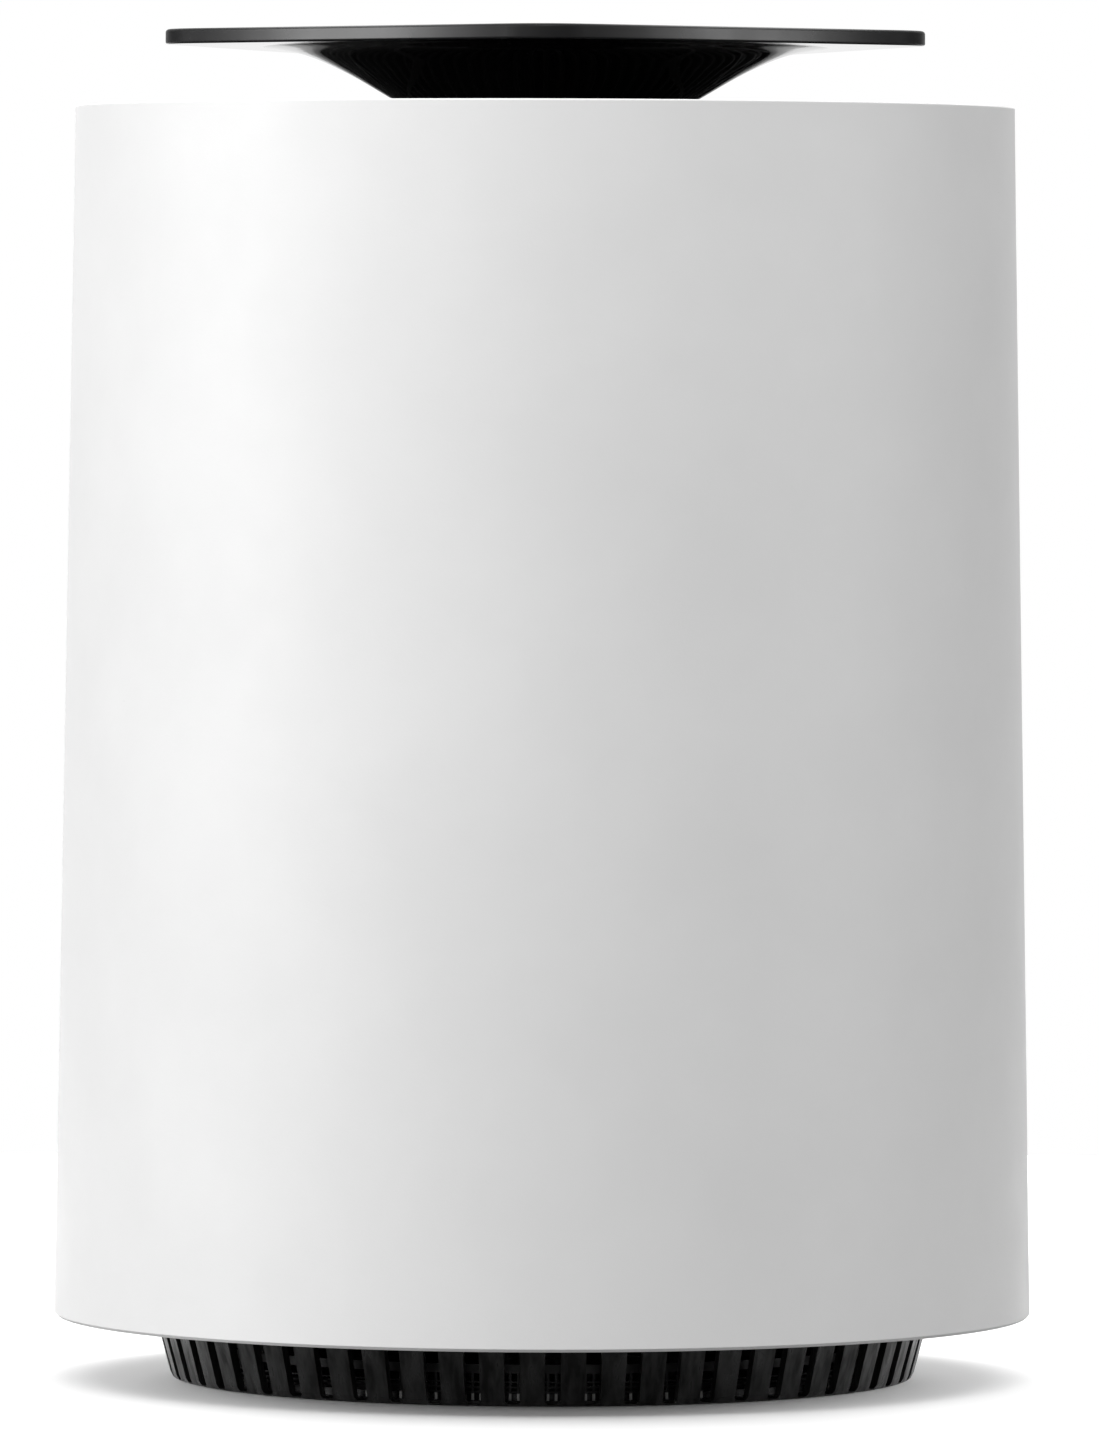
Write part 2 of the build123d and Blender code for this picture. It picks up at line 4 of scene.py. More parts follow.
import bmesh
import bpy
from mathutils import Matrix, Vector


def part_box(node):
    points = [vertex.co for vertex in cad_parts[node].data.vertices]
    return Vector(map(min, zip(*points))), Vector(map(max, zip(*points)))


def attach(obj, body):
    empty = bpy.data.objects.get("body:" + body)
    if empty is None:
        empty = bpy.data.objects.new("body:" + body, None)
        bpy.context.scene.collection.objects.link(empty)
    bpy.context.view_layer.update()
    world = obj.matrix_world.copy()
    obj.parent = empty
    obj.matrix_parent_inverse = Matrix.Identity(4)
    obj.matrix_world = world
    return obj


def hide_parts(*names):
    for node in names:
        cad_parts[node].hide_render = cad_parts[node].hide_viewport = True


# Looks for a round air purifier: tapered white shell, slotted black foot, and a pentagon plate on a
# flared deflector. Metres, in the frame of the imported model: floor at z = 0, front facing -Y.

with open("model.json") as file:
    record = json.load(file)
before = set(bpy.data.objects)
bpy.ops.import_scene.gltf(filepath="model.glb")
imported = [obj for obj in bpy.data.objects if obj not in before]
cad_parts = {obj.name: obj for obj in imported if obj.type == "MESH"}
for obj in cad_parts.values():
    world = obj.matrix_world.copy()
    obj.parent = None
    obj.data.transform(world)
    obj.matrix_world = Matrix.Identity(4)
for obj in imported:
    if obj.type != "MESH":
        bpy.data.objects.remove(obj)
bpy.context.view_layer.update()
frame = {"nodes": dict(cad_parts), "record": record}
NODES = frame["nodes"]

MM = 0.001

# Camera: a long lens, a little above half height, looking slightly down
CAMERA_DISTANCE = 4.369
CAMERA_HEIGHT = 0.3634
CAMERA_SIDE = 0.0017
CAMERA_PITCH = math.radians(1.751)
CAMERA_ROLL = math.radians(-0.155)
LENS_MM = 314.1
SENSOR_MM = 36.0

# Studio
FLOOR_RADIUS = 1.2
BACKDROP_RADIUS = 18.0
CARD_HALF_WIDTH = 1.8
CARD_DISTANCE = 2.4
CARD_LOW_Z = -0.3
CARD_HIGH_Z = 1.2
AIR_STRENGTH = 0.25
BODY_CENTRE = (0, 0, 0.25)
BODY_FRONT = (0, 0, 0.3)

# Sizes read from the frame
PANEL_TOP_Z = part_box("touch_panel")[1][2]
NET_LOW, NET_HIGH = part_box("filter_outer_net")
TRUMPET_LOW, TRUMPET_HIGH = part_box("trumpet_deflector")
PLATE_LOW_Z = TRUMPET_HIGH[2]
FLARE_RADIUS = (TRUMPET_HIGH[0] - TRUMPET_LOW[0]) / 2

# Top plate
PLATE_SIDES = 5
UNDERSIDE_FADE_LOW_Z = PLATE_LOW_Z + 0.1 * MM
UNDERSIDE_FADE_HIGH_Z = PLATE_LOW_Z + 0.5 * MM

# Posts of the frame behind the slots: a painted pale highlight below, dark plastic above
HIGHLIGHT_FADE_LOW_Z = 3.7 * MM
HIGHLIGHT_FADE_HIGH_Z = 4.15 * MM

# Deflector: (radius, depth below the plate) along its flared face, then back inside it
STEM_RADIUS = 30.0 * MM
BORE_RADIUS = 27.5 * MM
FLARE_CURVE_STEPS = 14
TURNED_SEGMENTS = 288
FLARE_POINTS = [
    (STEM_RADIUS, 32.0 * MM),
    (54.6 * MM, 17.3 * MM),
    (70.0 * MM, 8.6 * MM),
    (84.0 * MM, 2.7 * MM),
    (FLARE_RADIUS, 0.0),
]
INNER_POINTS = [
    (88.0 * MM, 0.0 * MM),
    (80.0 * MM, 1.8 * MM),
    (68.0 * MM, 6.8 * MM),
    (52.0 * MM, 15.8 * MM),
    (BORE_RADIUS, 30.6 * MM),
]

# Net round the filter
NET_STRANDS = 96
NET_STRAND_TURN = 1.9
NET_STRAND_STEPS = 40
NET_THREAD = 0.55 * MM
NET_INSET = 0.5 * MM
NET_LAYER_GAP = 0.25 * MM

# Marks printed on the touch panel
MARK_CIRCLE_RADIUS = 40.0 * MM
MARK_RAISE = 0.04 * MM
MARK_SINK = 0.1 * MM
DOT_RINGS = ((0.1 * MM, 0.9 * MM), (2.9 * MM, 3.5 * MM))
DOT_ANGLES = (30, 150, 210, 330)
ARC_HALF_WIDTH = 0.4 * MM
ARC_SECTORS = ((60, 120), (240, 300))


# ---------------------------------------------------------------- mesh helpers


def new_object(name, mesh):
    """An object made from a mesh, linked to the scene."""
    piece = bpy.data.objects.new(name, mesh)
    bpy.context.scene.collection.objects.link(piece)
    return piece


def mesh_from(name, vertices, faces):
    """A mesh object from plain lists of points and faces."""
    mesh = bpy.data.meshes.new(name)
    mesh.from_pydata(vertices, [], faces)
    mesh.validate()
    mesh.update()
    return new_object(name, mesh)


def shade(piece, angle=35.0):
    """Smooth shading that keeps edges sharper than an angle."""
    for polygon in piece.data.polygons:
        polygon.use_smooth = True
    piece.data.set_sharp_from_angle(angle=math.radians(angle))
    return piece


def smooth_nodes():
    """Smooth shading with crisp edges on every carried-over CAD node."""
    for node in NODES.values():
        shade(node, 30.0)


# ---------------------------------------------------------------- material helpers


class Look:
    """A principled material with small helpers for its procedural detail."""

    def __init__(self, name, colour, roughness, metallic=0.0):
        self.material = bpy.data.materials.new(name)
        self.material.use_nodes = True
        self.tree = self.material.node_tree
        self.shader = self.tree.nodes["Principled BSDF"]
        self.colour = (*colour, 1.0)
        self.shader.inputs["Base Color"].default_value = self.colour
        self.shader.inputs["Roughness"].default_value = roughness
        self.shader.inputs["Metallic"].default_value = metallic
        self.material.diffuse_color = self.colour
        self.where = self.tree.nodes.new("ShaderNodeTexCoord").outputs["Object"]
        self.normal = None

    def node(self, kind, **settings):
        """A new node of this kind, with its settings."""
        made = self.tree.nodes.new(kind)
        for key, value in settings.items():
            setattr(made, key, value)
        return made

    def link(self, start, end):
        """Join an output socket to an input socket."""
        self.tree.links.new(start, end)

    def noise(self, size, detail=3.0, stretch=(1, 1, 1), rough=0.55):
        """Noise whose features are about this many metres across."""
        mapping = self.node("ShaderNodeMapping")
        mapping.inputs["Scale"].default_value = stretch
        self.link(self.where, mapping.inputs["Vector"])
        made = self.node("ShaderNodeTexNoise")
        made.inputs["Scale"].default_value = 1.0 / size
        made.inputs["Detail"].default_value = detail
        made.inputs["Roughness"].default_value = rough
        self.link(mapping.outputs["Vector"], made.inputs["Vector"])
        return made.outputs["Fac"]

    def remap(self, value, low, high, start=0.3, end=0.7):
        """Stretch a 0 to 1 value onto another range."""
        made = self.node("ShaderNodeMapRange")
        made.inputs["From Min"].default_value = start
        made.inputs["From Max"].default_value = end
        made.inputs["To Min"].default_value = low
        made.inputs["To Max"].default_value = high
        self.link(value, made.inputs["Value"])
        return made.outputs["Result"]

    def blend(self, value, first, second):
        """Mix two colours by a value. Either may be a colour or a socket."""
        made = self.node("ShaderNodeMix", data_type="RGBA")
        self.link(value, made.inputs["Factor"])
        for socket, colour in ((made.inputs[6], first), (made.inputs[7], second)):
            if isinstance(colour, tuple):
                socket.default_value = (*colour[:3], 1.0)
            else:
                self.link(colour, socket)
        return made.outputs[2]

    def maths(self, operation, *values):
        """One maths node on sockets or numbers."""
        made = self.node("ShaderNodeMath", operation=operation)
        for socket, value in zip(made.inputs, values):
            self.feed(value, socket)
        return made.outputs[0]

    def mix_values(self, share, first, second):
        """A number part of the way from the first value to the second."""
        made = self.node("ShaderNodeMix", data_type="FLOAT")
        for socket, value in zip(made.inputs[:1] + made.inputs[2:4], (share, first, second)):
            self.feed(value, socket)
        return made.outputs[0]

    def feed(self, value, socket):
        """Connect a socket, or set a plain number."""
        if isinstance(value, (int, float)):
            socket.default_value = value
        else:
            self.link(value, socket)

    def tint(self, colour_socket):
        """Drive the base colour."""
        self.link(colour_socket, self.shader.inputs["Base Color"])

    def vary_roughness(self, size, low, high, detail=3.0):
        """Let the roughness wander between two values over features of this size."""
        self.link(self.remap(self.noise(size, detail), low, high), self.shader.inputs["Roughness"])

    def bump(self, height, depth, strength=1.0):
        """Add a bump of this depth in metres on top of any earlier one."""
        made = self.node("ShaderNodeBump")
        made.inputs["Strength"].default_value = strength
        made.inputs["Distance"].default_value = depth
        self.link(height, made.inputs["Height"])
        if self.normal is not None:
            self.link(self.normal, made.inputs["Normal"])
        self.normal = made.outputs["Normal"]
        self.link(self.normal, self.shader.inputs["Normal"])

    def specks(self, spacing, share, size):
        """A mask of small scattered specks: 1 inside a speck."""
        cells = self.node("ShaderNodeTexVoronoi")
        cells.inputs["Scale"].default_value = 1.0 / spacing
        self.link(self.where, cells.inputs["Vector"])
        split = self.node("ShaderNodeSeparateColor")
        self.link(cells.outputs["Color"], split.inputs["Color"])
        near = self.maths("LESS_THAN", cells.outputs["Distance"], size / spacing)
        chosen = self.maths("LESS_THAN", split.outputs["Red"], share)
        return self.maths("MULTIPLY", near, chosen)


# ---------------------------------------------------------------- materials


def matte_white():
    """The shell: fine spark-eroded matte plastic, barely mottled, with a trace of dust and handling."""
    look = Look("shell_matte_white", (0.74, 0.74, 0.74), 0.5)
    patchy = look.remap(look.noise(0.06, 4.0), 0.0, 1.0, 0.35, 0.65)
    body = look.blend(patchy, (0.725, 0.725, 0.725), (0.750, 0.750, 0.750))
    speck = look.specks(0.012, 0.05, 0.00018)
    look.tint(look.blend(speck, body, (0.55, 0.55, 0.55)))
    look.vary_roughness(0.02, 0.46, 0.56)
    look.bump(look.noise(0.0011, 4.0, rough=0.7), 0.00006, 0.55)
    look.bump(look.noise(0.0042, 2.0), 0.00005, 0.35)
    look.shader.inputs["Specular IOR Level"].default_value = 0.42
    return look.material


def gloss_black():
    """The flared deflector: piano black with a little dust and faint swirl marks."""
    look = Look("piano_black", (0.004, 0.004, 0.0045), 0.06)
    dust = look.specks(0.0045, 0.07, 0.00010)
    lint = look.specks(0.014, 0.06, 0.00020)
    base = look.blend(dust, (0.004, 0.004, 0.0045), (0.14, 0.14, 0.14))
    look.tint(look.blend(lint, base, (0.20, 0.20, 0.20)))
    look.vary_roughness(0.018, 0.045, 0.085, 5.0)
    look.bump(look.noise(0.04, 2.0), 0.00002, 0.1)
    return look.material


def plate_black():
    """The top plate: a grained face and edge, brightest mid-side, and a polished underside."""
    look = Look("plate_semi_gloss_black", (0.010, 0.010, 0.0105), 0.24)
    dust = look.specks(0.0035, 0.10, 0.00010)
    look.tint(look.blend(dust, (0.010, 0.010, 0.0105), (0.15, 0.15, 0.15)))
    split = look.node("ShaderNodeSeparateXYZ")
    look.link(look.where, split.inputs["Vector"])
    turn = look.maths("ARCTAN2", split.outputs["Y"], split.outputs["X"])
    five = look.maths("SINE", look.maths("MULTIPLY", turn, PLATE_SIDES))
    mid_side = look.remap(five, 0.0, 1.0, -0.8, 0.8)
    edge = look.mix_values(mid_side, 0.44, 0.22)
    grain = look.maths("ADD", edge, look.remap(look.noise(0.014, 5.0), -0.03, 0.03))
    height = split.outputs["Z"]
    underside = look.remap(height, 1.0, 0.0, UNDERSIDE_FADE_LOW_Z, UNDERSIDE_FADE_HIGH_Z)
    look.link(look.mix_values(underside, grain, 0.03), look.shader.inputs["Roughness"])
    shine = look.mix_values(mid_side, 0.13, 0.54)
    look.link(look.mix_values(underside, shine, 0.5), look.shader.inputs["Specular IOR Level"])
    look.bump(look.noise(0.0007, 3.0), 0.000012, 0.3)
    return look.material


def satin_black(name, shade_value, roughness=(0.34, 0.46), shine=0.5):
    """Moulded satin plastic: fine grain, a little wear-polish, and sparse dust."""
    look = Look(name, (shade_value,) * 3, sum(roughness) / 2)
    worn = look.remap(look.noise(0.03, 5.0), 0.0, 1.0, 0.45, 0.75)
    base = look.blend(worn, (shade_value,) * 3, (shade_value * 1.5,) * 3)
    dust = look.specks(0.0028, 0.10, 0.00012)
    look.tint(look.blend(dust, base, (0.12, 0.12, 0.12)))
    look.vary_roughness(0.012, *roughness)
    look.bump(look.noise(0.0007, 3.0), 0.00003, 0.5)
    look.shader.inputs["Specular IOR Level"].default_value = shine
    return look.material


def foot_black():
    """The slotted foot: satin black bars with sparse dust and soft upright streaks, polish in roughness
    and shine and painted sheen in colour.
    """
    look = Look("foot_satin_black", (0.010, 0.010, 0.010), 0.3)
    # Painted sheen: the streaks lighten the bars' colour in soft upright bands, as well as varying
    # their polish.
    polish_and_sheen_streak = look.remap(look.noise(0.0042, 3.0, (1, 1, 0.12)), 0.0, 1.0, 0.38, 0.66)
    base = look.blend(polish_and_sheen_streak, (0.006, 0.006, 0.006), (0.018, 0.018, 0.018))
    dust = look.specks(0.0030, 0.08, 0.00012)
    look.tint(look.blend(dust, base, (0.12, 0.12, 0.12)))
    look.link(look.mix_values(polish_and_sheen_streak, 0.40, 0.24), look.shader.inputs["Roughness"])
    look.link(look.mix_values(polish_and_sheen_streak, 0.12, 0.42), look.shader.inputs["Specular IOR Level"])
    look.bump(look.noise(0.0007, 3.0), 0.00002, 0.4)
    return look.material


def prefilter_grey():
    """The frame behind the slots: dark hoops on posts whose feet carry a painted pale highlight."""
    look = Look("prefilter_frame_grey", (0.03, 0.03, 0.03), 0.45)
    split = look.node("ShaderNodeSeparateXYZ")
    look.link(look.where, split.inputs["Vector"])
    # Painted highlight: the post feet are coloured pale where they catch light, mottled by noise.
    foot = look.remap(split.outputs["Z"], 1.0, 0.0, HIGHLIGHT_FADE_LOW_Z, HIGHLIGHT_FADE_HIGH_Z)
    cloud = look.noise(0.0012, 4.0)
    painted_highlight = look.blend(cloud, (0.45, 0.45, 0.44), (0.85, 0.85, 0.83))
    look.tint(look.blend(foot, (0.006, 0.006, 0.0065), painted_highlight))
    look.shader.inputs["Specular IOR Level"].default_value = 0.3
    look.vary_roughness(0.004, 0.4, 0.55)
    look.bump(cloud, 0.00004, 0.4)
    return look.material


def pale_plastic(name, value, roughness=(0.4, 0.52)):
    """Inner mouldings in grey plastic, with faint flow lines."""
    look = Look(name, (value,) * 3, sum(roughness) / 2)
    flow = look.remap(look.noise(0.05, 4.0, (1, 1, 0.25)), 0.0, 1.0, 0.3, 0.7)
    look.tint(look.blend(flow, (value * 0.95,) * 3, (value * 1.04,) * 3))
    look.vary_roughness(0.02, *roughness)
    look.bump(look.noise(0.0012, 3.0), 0.00005, 0.4)
    return look.material


def rubber():
    """Soft black rubber of the feet."""
    look = Look("soft_rubber", (0.028, 0.028, 0.028), 0.75)
    look.tint(look.blend(look.noise(0.004, 4.0), (0.02, 0.02, 0.02), (0.045, 0.044, 0.042)))
    look.vary_roughness(0.003, 0.65, 0.85)
    look.bump(look.noise(0.0006, 3.0), 0.00008, 0.6)
    return look.material


def paper():
    """Pleated filter paper: soft fibres with a slight warm cast."""
    look = Look("filter_paper", (0.80, 0.80, 0.77), 0.9)
    fibres = look.noise(0.0022, 6.0, (1, 1, 0.35), 0.7)
    look.tint(look.blend(fibres, (0.72, 0.72, 0.69), (0.86, 0.86, 0.83)))
    look.vary_roughness(0.004, 0.82, 0.95)
    look.bump(fibres, 0.00025, 0.6)
    look.shader.inputs["Sheen Weight"].default_value = 0.2
    return look.material


def carbon():
    """Carbon foam: black open pores."""
    look = Look("carbon_foam", (0.03, 0.03, 0.03), 0.95)
    pores = look.node("ShaderNodeTexVoronoi")
    pores.inputs["Scale"].default_value = 600.0
    look.link(look.where, pores.inputs["Vector"])
    depth = pores.outputs["Distance"]
    look.tint(look.blend(depth, (0.01, 0.01, 0.01), (0.07, 0.07, 0.07)))
    look.bump(depth, 0.0006, 0.8)
    return look.material


def net_thread():
    """Plastic net thread over the filter."""
    look = Look("net_thread", (0.72, 0.73, 0.74), 0.55)
    look.tint(look.blend(look.noise(0.003, 3.0), (0.66, 0.67, 0.68), (0.78, 0.79, 0.80)))
    look.vary_roughness(0.002, 0.45, 0.65)
    look.bump(look.noise(0.0004, 2.0), 0.00003, 0.5)
    return look.material


def foam():
    """Closed-cell seal foam."""
    look = Look("seal_foam", (0.05, 0.05, 0.052), 0.9)
    cells = look.noise(0.0009, 5.0)
    look.tint(look.blend(cells, (0.035, 0.035, 0.037), (0.08, 0.08, 0.082)))
    look.bump(cells, 0.0002, 0.7)
    return look.material


def touch_glass():
    """Smoked touch panel: smooth glass with light fingerprints."""
    look = Look("smoked_glass", (0.008, 0.008, 0.010), 0.06)
    prints = look.noise(0.012, 6.0, rough=0.7)
    look.link(look.remap(prints, 0.04, 0.16, 0.5, 0.72), look.shader.inputs["Roughness"])
    look.tint(look.blend(prints, (0.007, 0.007, 0.009), (0.011, 0.011, 0.013)))
    look.bump(look.noise(0.04, 2.0), 0.00002, 0.1)
    look.shader.inputs["Coat Weight"].default_value = 0.5
    look.shader.inputs["Coat Roughness"].default_value = 0.03
    return look.material


def light_guide():
    """Frosted light guide, softly cloudy."""
    look = Look("frosted_guide", (0.72, 0.76, 0.78), 0.35)
    cloud = look.noise(0.003, 4.0)
    look.tint(look.blend(cloud, (0.66, 0.70, 0.73), (0.80, 0.83, 0.85)))
    look.vary_roughness(0.004, 0.28, 0.42)
    look.bump(cloud, 0.00003, 0.3)
    look.shader.inputs["Subsurface Weight"].default_value = 0.2
    return look.material


def icon_print():
    """Pale print of the touch marks."""
    look = Look("panel_print", (0.62, 0.64, 0.66), 0.4)
    look.tint(look.blend(look.noise(0.0008, 3.0), (0.55, 0.57, 0.59), (0.68, 0.70, 0.72)))
    look.vary_roughness(0.001, 0.35, 0.5)
    look.bump(look.noise(0.0004, 2.0), 0.000004, 0.3)
    return look.material


def metal(name, colour, roughness, grain=(1, 1, 12), grain_size=0.004):
    """Bright metal with drawn grain and slight tarnish."""
    look = Look(name, colour, roughness, 1.0)
    tarnish = look.remap(look.noise(0.008, 5.0), 0.0, 1.0, 0.35, 0.7)
    look.tint(look.blend(tarnish, colour, tuple(c * 0.78 for c in colour)))
    lines = look.noise(grain_size, 4.0, grain)
    look.link(look.remap(lines, roughness * 0.75, roughness * 1.35), look.shader.inputs["Roughness"])
    look.bump(lines, 0.00002, 0.4)
    return look.material


def laminations():
    """Stacked motor laminations: thin dark steel sheets with visible layers."""
    look = Look("laminated_steel", (0.30, 0.30, 0.31), 0.45, 0.9)
    layers = look.node("ShaderNodeTexWave", wave_type="BANDS", bands_direction="Z")
    layers.inputs["Scale"].default_value = 320.0
    layers.inputs["Distortion"].default_value = 0.4
    look.link(look.where, layers.inputs["Vector"])
    look.tint(look.blend(layers.outputs["Fac"], (0.16, 0.16, 0.17), (0.40, 0.40, 0.41)))
    look.bump(layers.outputs["Fac"], 0.0001, 0.7)
    look.vary_roughness(0.003, 0.35, 0.55)
    return look.material


def copper_wire():
    """Enamelled copper winding, with its turns."""
    look = Look("enamelled_copper", (0.48, 0.20, 0.08), 0.3, 0.85)
    turns = look.node("ShaderNodeTexWave", wave_type="BANDS", bands_direction="Z")
    turns.inputs["Scale"].default_value = 420.0
    turns.inputs["Distortion"].default_value = 1.2
    look.link(look.where, turns.inputs["Vector"])
    look.tint(look.blend(turns.outputs["Fac"], (0.24, 0.08, 0.03), (0.60, 0.27, 0.11)))
    look.bump(turns.outputs["Fac"], 0.0002, 0.8)
    look.vary_roughness(0.003, 0.22, 0.38)
    return look.material


def board_green():
    """Solder-masked circuit board with faint tracks."""
    look = Look("solder_mask", (0.012, 0.10, 0.045), 0.35)
    tracks = look.node("ShaderNodeTexBrick")
    tracks.inputs["Scale"].default_value = 120.0
    tracks.inputs["Mortar Size"].default_value = 0.012
    tracks.inputs["Color1"].default_value = (0.010, 0.090, 0.040, 1)
    tracks.inputs["Color2"].default_value = (0.013, 0.105, 0.048, 1)
    tracks.inputs["Mortar"].default_value = (0.03, 0.19, 0.09, 1)
    look.link(look.where, tracks.inputs["Vector"])
    look.tint(tracks.outputs["Color"])
    look.bump(tracks.outputs["Fac"], 0.00004, 0.4)
    look.vary_roughness(0.003, 0.28, 0.42)
    return look.material


def floor_white():
    """Plain pale studio floor."""
    look = Look("studio_floor", (0.90, 0.90, 0.90), 0.9)
    look.tint(look.blend(look.noise(0.4, 3.0), (0.895, 0.895, 0.895), (0.905, 0.905, 0.905)))
    look.shader.inputs["Specular IOR Level"].default_value = 0.0
    return look.material


def dress_nodes():
    """Give every carried-over CAD node its material."""
    looks = {
        "white_shell": matte_white(),
        "black_gloss": gloss_black(),
        "black_satin": foot_black(),
        "dark_grille": satin_black("charcoal_grille", 0.030, (0.38, 0.5)),
        "light_duct": pale_plastic("duct_pale_grey", 0.56),
        "rubber_pad": rubber(),
        "filter_paper": paper(),
        "filter_carbon": carbon(),
        "filter_net": net_thread(),
        "filter_frame": pale_plastic("filter_cap_grey", 0.66, (0.42, 0.55)),
        "seal_foam": foam(),
        "glass_panel": touch_glass(),
        "light_guide": light_guide(),
        "steel_bright": metal("zinc_steel", (0.62, 0.62, 0.63), 0.3),
        "lamination": laminations(),
        "copper_coil": copper_wire(),
        "magnet_dark": metal("sintered_magnet", (0.20, 0.20, 0.21), 0.5, (1, 1, 1), 0.001),
        "circuit_board": board_green(),
        "part_black": satin_black("electronic_part_black", 0.020, (0.4, 0.55)),
        "brass_pin": metal("plated_pin", (0.72, 0.66, 0.50), 0.22),
        "wire_sleeve": satin_black("wire_sleeve", 0.05, (0.45, 0.6)),
    }
    deep_black = satin_black("inner_stand_black", 0.008, (0.5, 0.62), 0.2)
    own_looks = {
        "top_plate": plate_black(),
        "prefilter_frame": prefilter_grey(),
        "filter_seat": deep_black,
        "base_plate": deep_black,
        "outlet_grille": deep_black,
        "power_button": satin_black("button_satin_black", 0.022),
    }
    for entry in frame["record"]["subparts"]:
        node = NODES[entry["node"]]
        look = own_looks.get(entry["node"], looks[entry["material_slot"]])
        if not node.material_slots:
            node.data.materials.append(look)
        for holder in node.material_slots:
            holder.material = look
    return looks


# ---------------------------------------------------------------- detail pieces


def finish_piece(piece, look, body, replaced=()):
    """Give a new piece its material and body, and hide the CAD nodes it stands for."""
    piece.data.materials.clear()
    piece.data.materials.append(look)
    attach(piece, body)
    if replaced:
        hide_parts(*replaced)


def helix_strand(radius, low, high, start, turn, thickness, steps):
    """Points and faces of one square thread wound up a cylinder."""
    vertices = []
    faces = []
    half = thickness / 2
    for index in range(steps + 1):
        share = index / steps
        angle = start + turn * share
        height = low + (high - low) * share
        run = turn * radius
        tangent = Vector((-math.sin(angle) * run, math.cos(angle) * run, high - low))
        out = Vector((math.cos(angle), math.sin(angle), 0))
        side = tangent.normalized().cross(out)
        centre = out * radius + Vector((0, 0, height))
        for outward, sideways in ((-half, -half), (half, -half), (half, half), (-half, half)):
            vertices.append(centre + out * outward + side * sideways)
        if index:
            before = 4 * (index - 1)
            here = 4 * index
            for corner in range(4):
                after = (corner + 1) % 4
                faces.append((before + corner, here + corner, here + after, before + after))
    last = 4 * steps
    faces.append((0, 1, 2, 3))
    faces.append((last + 3, last + 2, last + 1, last))
    return vertices, faces


def join_part(vertices, faces, part):
    """Add one part's points and faces to growing lists."""
    points, polygons = part
    base = len(vertices)
    vertices += points
    faces += [tuple(base + corner for corner in polygon) for polygon in polygons]


def make_net(look):
    """The diamond net round the filter, from two sets of crossing threads."""
    low = NET_LOW[2]
    high = NET_HIGH[2]
    outer_radius = (NET_HIGH[0] - NET_LOW[0]) / 2 - NET_INSET
    vertices = []
    faces = []
    for direction, inset in ((1, 0.0), (-1, NET_LAYER_GAP)):
        radius = outer_radius - inset
        turn = direction * NET_STRAND_TURN
        for index in range(NET_STRANDS):
            start = 2 * math.pi * index / NET_STRANDS
            strand = helix_strand(radius, low, high, start, turn, NET_THREAD, NET_STRAND_STEPS)
            join_part(vertices, faces, strand)
    net = mesh_from("filter_net_threads", vertices, faces)
    finish_piece(net, look, "filter", ["filter_outer_net"])


def smooth_curve(points, steps):
    """Points along a smooth curve through the given (radius, depth) points."""
    knots = [Vector(point) for point in points]
    slopes = [knots[1] - knots[0]]
    slopes += [(after - before) / 2 for before, after in zip(knots, knots[2:])]
    slopes.append(knots[-1] - knots[-2])
    curve = [knots[0]]
    for index in range(len(knots) - 1):
        for step in range(1, steps + 1):
            t = step / steps
            leaving = knots[index] * (2 * t**3 - 3 * t**2 + 1) + slopes[index] * (t**3 - 2 * t**2 + t)
            arriving = knots[index + 1] * (3 * t**2 - 2 * t**3) + slopes[index + 1] * (t**3 - t**2)
            curve.append(leaving + arriving)
    return curve


def lathe(name, outline, segments):
    """A closed body turned about Z from (radius, height) points."""
    vertices = []
    faces = []
    for index in range(segments):
        angle = 2 * math.pi * index / segments
        for radius, height in outline:
            vertices.append((radius * math.cos(angle), radius * math.sin(angle), height))
    count = len(outline)
    for index in range(segments):
        here = index * count
        there = (index + 1) % segments * count
        for step in range(count):
            after = (step + 1) % count
            faces.append((here + step, there + step, there + after, here + after))
    return mesh_from(name, vertices, faces)


def make_trumpet(look):
    """The flared deflector, turned finely enough for clean reflections."""
    face_points = smooth_curve(FLARE_POINTS, FLARE_CURVE_STEPS)
    outline = [(radius, PLATE_LOW_Z - depth) for radius, depth in [*face_points, *INNER_POINTS]]
    outline.append((BORE_RADIUS, TRUMPET_LOW[2]))
    outline.append((STEM_RADIUS, TRUMPET_LOW[2]))
    trumpet = shade(lathe("trumpet_flare", outline, TURNED_SEGMENTS))
    finish_piece(trumpet, look, "housing", ["trumpet_deflector"])


def ring_mesh(inner, outer, low, high, at, sectors=(0.0, 360.0), steps=48):
    """A flat ring or arc with thickness, centred at a point in plan."""
    vertices = []
    faces = []
    start, end = (math.radians(value) for value in sectors)
    closed = abs(sectors[1] - sectors[0]) >= 360.0
    count = steps if closed else steps + 1
    for index in range(count):
        angle = start + (end - start) * index / steps
        for radius, height in ((inner, low), (outer, low), (outer, high), (inner, high)):
            x = at[0] + radius * math.cos(angle)
            y = at[1] + radius * math.sin(angle)
            vertices.append((x, y, height))
    for index in range(steps):
        here = 4 * index
        there = 4 * ((index + 1) % count)
        for corner in range(4):
            after = (corner + 1) % 4
            faces.append((here + corner, here + after, there + after, there + corner))
    if not closed:
        last = 4 * (count - 1)
        faces.append((3, 2, 1, 0))
        faces.append((last, last + 1, last + 2, last + 3))
    return vertices, faces


